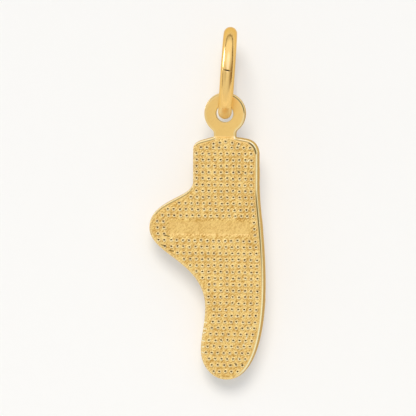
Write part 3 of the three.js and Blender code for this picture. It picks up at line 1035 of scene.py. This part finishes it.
def slipper_shell(surface):
    """The slipper's closed mesh: edges and walls along its outline and its hole, then both faces."""
    back, front, eye = surface.settings.back, surface.settings.front, surface.settings.eye
    rims = [
        edge_rings(
            surface, surface.outline, SLOPED_EDGE, back.edge_round, back.edge_depth, front.edge_round,
        ),
        edge_rings(surface, hole_loop(eye), ROUND_EDGE, HOLE_ROUND, HOLE_ROUND, HOLE_ROUND),
    ]
    shell = Shell()
    numbers = [shell.add_rings(rings) for rings in rims]
    for end, depth, fill in ((0, surface.back, back_points), (-1, surface.front, face_grid)):
        loops = [rings[end][0] for rings in rims]
        extra = fill(surface, loops[0])
        filled = [rows[end] for rows in numbers] + [shell.add(extra, depth(extra))]
        faces = np.concatenate(filled)[triangulate(loops, extra)]
        shell.faces.extend((faces if end == 0 else faces[:, ::-1]).tolist())
    return shell


def new_mesh(name, points, faces, attributes):
    """A smooth mesh, apart from any faces with more than four corners, with a value for each point."""
    mesh = bpy.data.meshes.new(name)
    mesh.from_pydata(points, [], faces)
    mesh.polygons.foreach_set("use_smooth", [len(face) <= 4 for face in faces])
    for key, values in attributes.items():
        attribute = mesh.attributes.new(key, "FLOAT", "POINT")
        attribute.data.foreach_set("value", np.asarray(values, np.float32).ravel())
    mesh.update()
    return mesh


def make_slipper(settings):
    surface = SlipperSurface(settings)
    shell = slipper_shell(surface)
    rows = np.vstack(shell.points)
    marks = surface.marks(rows[:, [0, 2]], rows[:, 1])
    rows = rows + (HOLE_MIDDLE.x, BACK_FACE, HOLE_MIDDLE.z)
    return new_mesh("slipper_charm", rows.tolist(), shell.faces, marks)


# Jump ring

RING_STEPS = 220
END_STEPS = 4
WIRE_SIDES = 40


def ring_stations(reach):
    """How far round from the cut each station along the wire lies, closer together at both ends."""
    rounding = reach * (1 - np.cos(np.arange(END_STEPS) * math.pi / 2 / END_STEPS))
    middle = np.linspace(reach, 2 * math.pi - reach, RING_STEPS)
    return np.concatenate([rounding, middle, 2 * math.pi - rounding[::-1]])


def seam_open(around):
    """1 where the cut gapes, near the middle of the wire's outer side, 0 where the ends touch."""
    return 1 - ease(np.abs(np.sin((around + math.radians(4)) / 2)), 0.14, 0.3)


def wire_rings(ring, radius):
    """Points of the wire, in a ring round each station, and the values that the gold's nodes read."""
    around = 2 * math.pi * np.arange(WIRE_SIDES) / WIRE_SIDES
    wide = seam_open(around)
    reach = ring.end_round / radius
    travelled = ring_stations(reach)[:, None]
    from_cut = np.minimum(travelled, 2 * math.pi - travelled) / reach
    # The ends are rounded next to the cut. The gap and the slant of the cut fade out a little farther on.
    near_cut = np.maximum(0, 1 - from_cut)
    fade = np.maximum(0, 1 - from_cut / 4)
    lost = ring.end_round * (1 - np.sqrt(1 - near_cut ** 2)) * (0.15 + 0.85 * wide)
    thickness = ring.wire_diameter / 2 - lost
    gap = np.sign(math.pi - travelled) * fade * ring.seam_gap / radius / 2 * (0.12 + 0.88 * wide)
    slant = -0.12 * thickness * np.sin(around) / radius * fade
    turn = ring.seam_angle + travelled + gap + slant
    out = radius + thickness * np.cos(around)
    points = np.stack([thickness * np.sin(around), -out * np.cos(turn), out * np.sin(turn)], axis=-1)
    # Painted shade in the cut where it gapes; the bottom, where the eye hangs, is painted pale as burnish
    # from rubbing and as a painted highlight.
    return points.reshape(-1, 3), {"deep_shade": near_cut * wide, "wear_and_highlight": ease(-np.sin(turn), 0.68, 0.9)}


def wire_faces(count):
    """Quads between the rings of points, and a cap on each cut end."""
    faces = []
    last = count - WIRE_SIDES
    for first in range(0, last, WIRE_SIDES):
        for a in range(WIRE_SIDES):
            b = (a + 1) % WIRE_SIDES
            faces.append((first + a, first + b, first + WIRE_SIDES + b, first + WIRE_SIDES + a))
    return faces + [tuple(range(WIRE_SIDES))[::-1], tuple(range(last, count))]


def make_jump_ring(ring):
    radius = (ring.outer_diameter - ring.wire_diameter) / 2
    points, marks = wire_rings(ring, radius)
    hang = Matrix.Translation(Vector((0, 0, ring.wire_diameter / 2 - radius)))
    stand = np.array(Matrix.Rotation(ring.lean, 4, "Y") @ hang @ Matrix.Rotation(ring.twist, 4, "Z"))
    points = points @ stand[:3, :3].T + stand[:3, 3]
    return new_mesh("round_wire_ring", points.tolist(), wire_faces(len(points)), marks)


# Stage

def view_axes(stage):
    """Unit directions of the view: towards the camera, to the right and up."""
    back = Vector((
        math.sin(stage.azimuth) * math.cos(stage.elevation),
        -math.cos(stage.azimuth) * math.cos(stage.elevation),
        math.sin(stage.elevation),
    ))
    right = Vector((math.cos(stage.azimuth), math.sin(stage.azimuth), 0))
    return back, right, back.cross(right)


def add_object(name, mesh, material):
    piece = bpy.data.objects.new(name, mesh)
    mesh.materials.append(material)
    bpy.context.scene.collection.objects.link(piece)
    return piece


# The paper, in metres: its reach above and below the view's aim, the radius of its bend, the length
# of its floor and half its width
PAPER_TOP = 0.0235
PAPER_FOOT = 0.08
PAPER_BEND = 0.03
PAPER_FLOOR = 0.06
PAPER_HALF_WIDTH = 0.35
BEND_STEPS = 16


def make_paper(stage):
    """One sheet that stands close behind the charm and bends forward into a floor."""
    back, right, up = view_axes(stage)
    farthest = min(
        back.dot(piece.matrix_world @ vertex.co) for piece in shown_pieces() for vertex in piece.data.vertices
    )
    base = back * (farthest - stage.paper_gap) + up * Vector(stage.aim).dot(up)
    front = Vector((back.x, back.y, 0)).normalized()
    bend_end = math.pi / 2 - stage.elevation
    profile = [base + up * PAPER_TOP, base - up * PAPER_FOOT]
    middle = profile[-1] + back * PAPER_BEND
    for step in range(1, BEND_STEPS + 1):
        turn = bend_end * step / BEND_STEPS
        profile.append(middle - (back * math.cos(turn) + up * math.sin(turn)) * PAPER_BEND)
    profile.append(profile[-1] + front * PAPER_FLOOR)
    points = [p + right * side for p in profile for side in (-PAPER_HALF_WIDTH, PAPER_HALF_WIDTH)]
    faces = [(2 * i, 2 * i + 2, 2 * i + 3, 2 * i + 1) for i in range(len(profile) - 1)]
    return new_mesh("paper", points, faces, {})


def add_holder(name, data, place, turn):
    """Adds a lamp or a camera at a place, turned by a quaternion."""
    holder = bpy.data.objects.new(name, data)
    holder.location = place
    holder.rotation_mode = "QUATERNION"
    holder.rotation_quaternion = turn
    bpy.context.scene.collection.objects.link(holder)
    return holder


LAMP_DISTANCE = 0.2


def add_sun(name, stage, from_right, from_up, from_camera, strength, spread, tint):
    """A distant soft lamp, placed by its direction as the camera sees it."""
    back, right, up = view_axes(stage)
    direction = right * from_right + up * from_up + back * from_camera
    lamp = bpy.data.lights.new(name, "SUN")
    lamp.energy = strength
    lamp.angle = math.radians(spread)
    lamp.color = tint
    turn = direction.to_track_quat("Z", "Y")
    return add_holder(name, lamp, direction.normalized() * LAMP_DISTANCE, turn)


def make_lamps(stage):
    add_sun("key_lamp", stage, 0.0, 0.52, 1.0, 0.3, 50, (0.45, 0.55, 1.6))
    add_sun("side_lamp", stage, -1.0, 0.46, -0.04, 0.9, 28, (0.9, 1.0, 1.35))
    add_sun("paper_lamp", stage, -0.1, 0.53, 1.0, 1.87, 26, (1.03, 0.967, 0.864)).visible_glossy = False


# Tints of the world where it is bright and dim, and where it lights the paper
BRIGHT_TINT = (0.96, 0.985, 1.03)
DIM_TINT = (1.0, 0.75, 0.47)
PAPER_TINT = (0.86, 0.95, 1.04)


def world_level(tree, where, stage):
    """How bright each direction is, 1 being white: a little brighter above, below and by the camera."""
    back, right, up = view_axes(stage)
    towards, across, height = (tree.along(where, axis) for axis in (back, right, up))
    level = 0.86 + 0.3 * tree.rise(height, 0.0, 0.6) + 0.1 * tree.rise(height, -0.2, -0.6)
    level = level - 0.26 * tree.rise(across, 0.5, 0.8)
    level = level - 0.2 * tree.rise(0.85 * across - 0.5 * height, 0.4, 0.85)
    level = level - 0.14 * tree.cone(where, back - 0.55 * right, 22, 6)
    level = level + 0.16 * tree.cone(where, back + 0.02 * right - 0.08 * up, 28, 6)
    level = level + (0.88 - level) * tree.rise(towards, 0.06, -0.04)
    # The dim gap runs round the view and bends towards the camera at the top.
    bend = towards + 0.5 * tree.rise(height, 0.6, 0.92)
    gap = tree.rise(bend, -0.02, 0.04) * tree.rise(bend, 0.3, 0.2)
    return level * (1 - gap * (0.62 + 0.25 * height + 0.1 * across))


def make_world(stage):
    """Soft light all round with a dim gap out to the side. The paper alone gets less of it."""
    world = bpy.data.worlds.new("studio")
    world.cycles.sampling_method = "NONE"
    bpy.context.scene.world = world
    tree = NodeTree(world)
    where = tree.node("ShaderNodeTexCoord", output="Generated")
    level = world_level(tree, where, stage)
    tint = tree.blend(tree.rise(level, 0.8, 0.2), BRIGHT_TINT, DIM_TINT)
    on_paper = tree.ray("Diffuse")
    tint = tree.blend(on_paper, tint, PAPER_TINT)
    sockets = {0: tint, "Scale": level * (1 - 0.53 * on_paper)}
    light = tree.node("ShaderNodeVectorMath", {"operation": "SCALE"}, sockets)
    shown = tree.blend(tree.ray("Camera"), light, stage.seen_around)
    background = tree.node("ShaderNodeBackground", None, {"Color": shown, "Strength": 1.0})
    tree.node("ShaderNodeOutputWorld", None, {"Surface": background})


def make_camera(stage):
    back, right, up = view_axes(stage)
    camera = bpy.data.cameras.new("camera")
    camera.lens = camera.sensor_width * stage.view_distance / stage.view_width
    camera.clip_start = stage.view_distance / 50
    camera.clip_end = stage.view_distance * 10
    place = Vector(stage.aim) + back * stage.view_distance
    turn = Matrix((right, up, back)).transposed().to_quaternion()
    bpy.context.scene.camera = add_holder("camera", camera, place, turn)


# Operators

class CHARM_OT_slipper(bpy.types.Operator):
    """Makes the struck slipper with its eye, its pitted back and its modelled front"""

    bl_idname = "charm.slipper"
    bl_label = "Make Slipper"

    def execute(self, context):
        settings = context.scene.charm
        piece = add_object("slipper_charm", make_slipper(settings), struck_gold(settings.gold))
        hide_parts("slipper")
        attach(piece, "charm")
        return {"FINISHED"}


class CHARM_OT_jump_ring(bpy.types.Operator):
    """Makes the round-wire jump ring with its seam"""

    bl_idname = "charm.jump_ring"
    bl_label = "Make Jump Ring"

    def execute(self, context):
        settings = context.scene.charm
        piece = add_object("round_wire_ring", make_jump_ring(settings.ring), wire_gold(settings.gold))
        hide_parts("jump_ring")
        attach(piece, "ring")
        return {"FINISHED"}


class CHARM_OT_stage(bpy.types.Operator):
    """Makes the paper, the lamps, the world and the camera"""

    bl_idname = "charm.stage"
    bl_label = "Make Stage"

    def execute(self, context):
        stage = context.scene.charm.stage
        add_object("paper", make_paper(stage), paper_material(stage))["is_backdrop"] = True
        make_lamps(stage)
        make_world(stage)
        make_camera(stage)
        context.scene.view_settings.view_transform = "Standard"
        return {"FINISHED"}


class CHARM_PT_panel(bpy.types.Panel):
    """Lists the operators and the settings"""

    bl_idname = "CHARM_PT_panel"
    bl_label = "Ballet Slipper Charm"
    bl_space_type = "VIEW_3D"
    bl_region_type = "UI"
    bl_category = "Charm"

    def draw(self, context):
        layout = self.layout
        for operator in OPERATORS:
            layout.operator(operator.bl_idname)
        settings = context.scene.charm
        for name in ("ring", "eye", "outline", "back", "front", "gold", "stage"):
            group = getattr(settings, name)
            box = layout.box()
            box.label(text=name.capitalize())
            for key in group.bl_rna.properties.keys():
                if key not in {"rna_type", "name"}:
                    box.prop(group, key)


SETTINGS = (
    RingSizes, EyeSizes, OutlineSizes, BackSizes, FrontSizes, GoldFinish, StageSettings, CharmSettings,
)
OPERATORS = (CHARM_OT_slipper, CHARM_OT_jump_ring, CHARM_OT_stage)


def register():
    for item in (*SETTINGS, *OPERATORS, CHARM_PT_panel):
        bpy.utils.register_class(item)
    bpy.types.Scene.charm = PointerProperty(type=CharmSettings)


def unregister():
    del bpy.types.Scene.charm
    for item in (CHARM_PT_panel, *OPERATORS[::-1], *SETTINGS[::-1]):
        bpy.utils.unregister_class(item)


def main():
    register()
    bpy.ops.charm.slipper()
    bpy.ops.charm.jump_ring()
    bpy.ops.charm.stage()


if __name__ == "__main__":
    main()
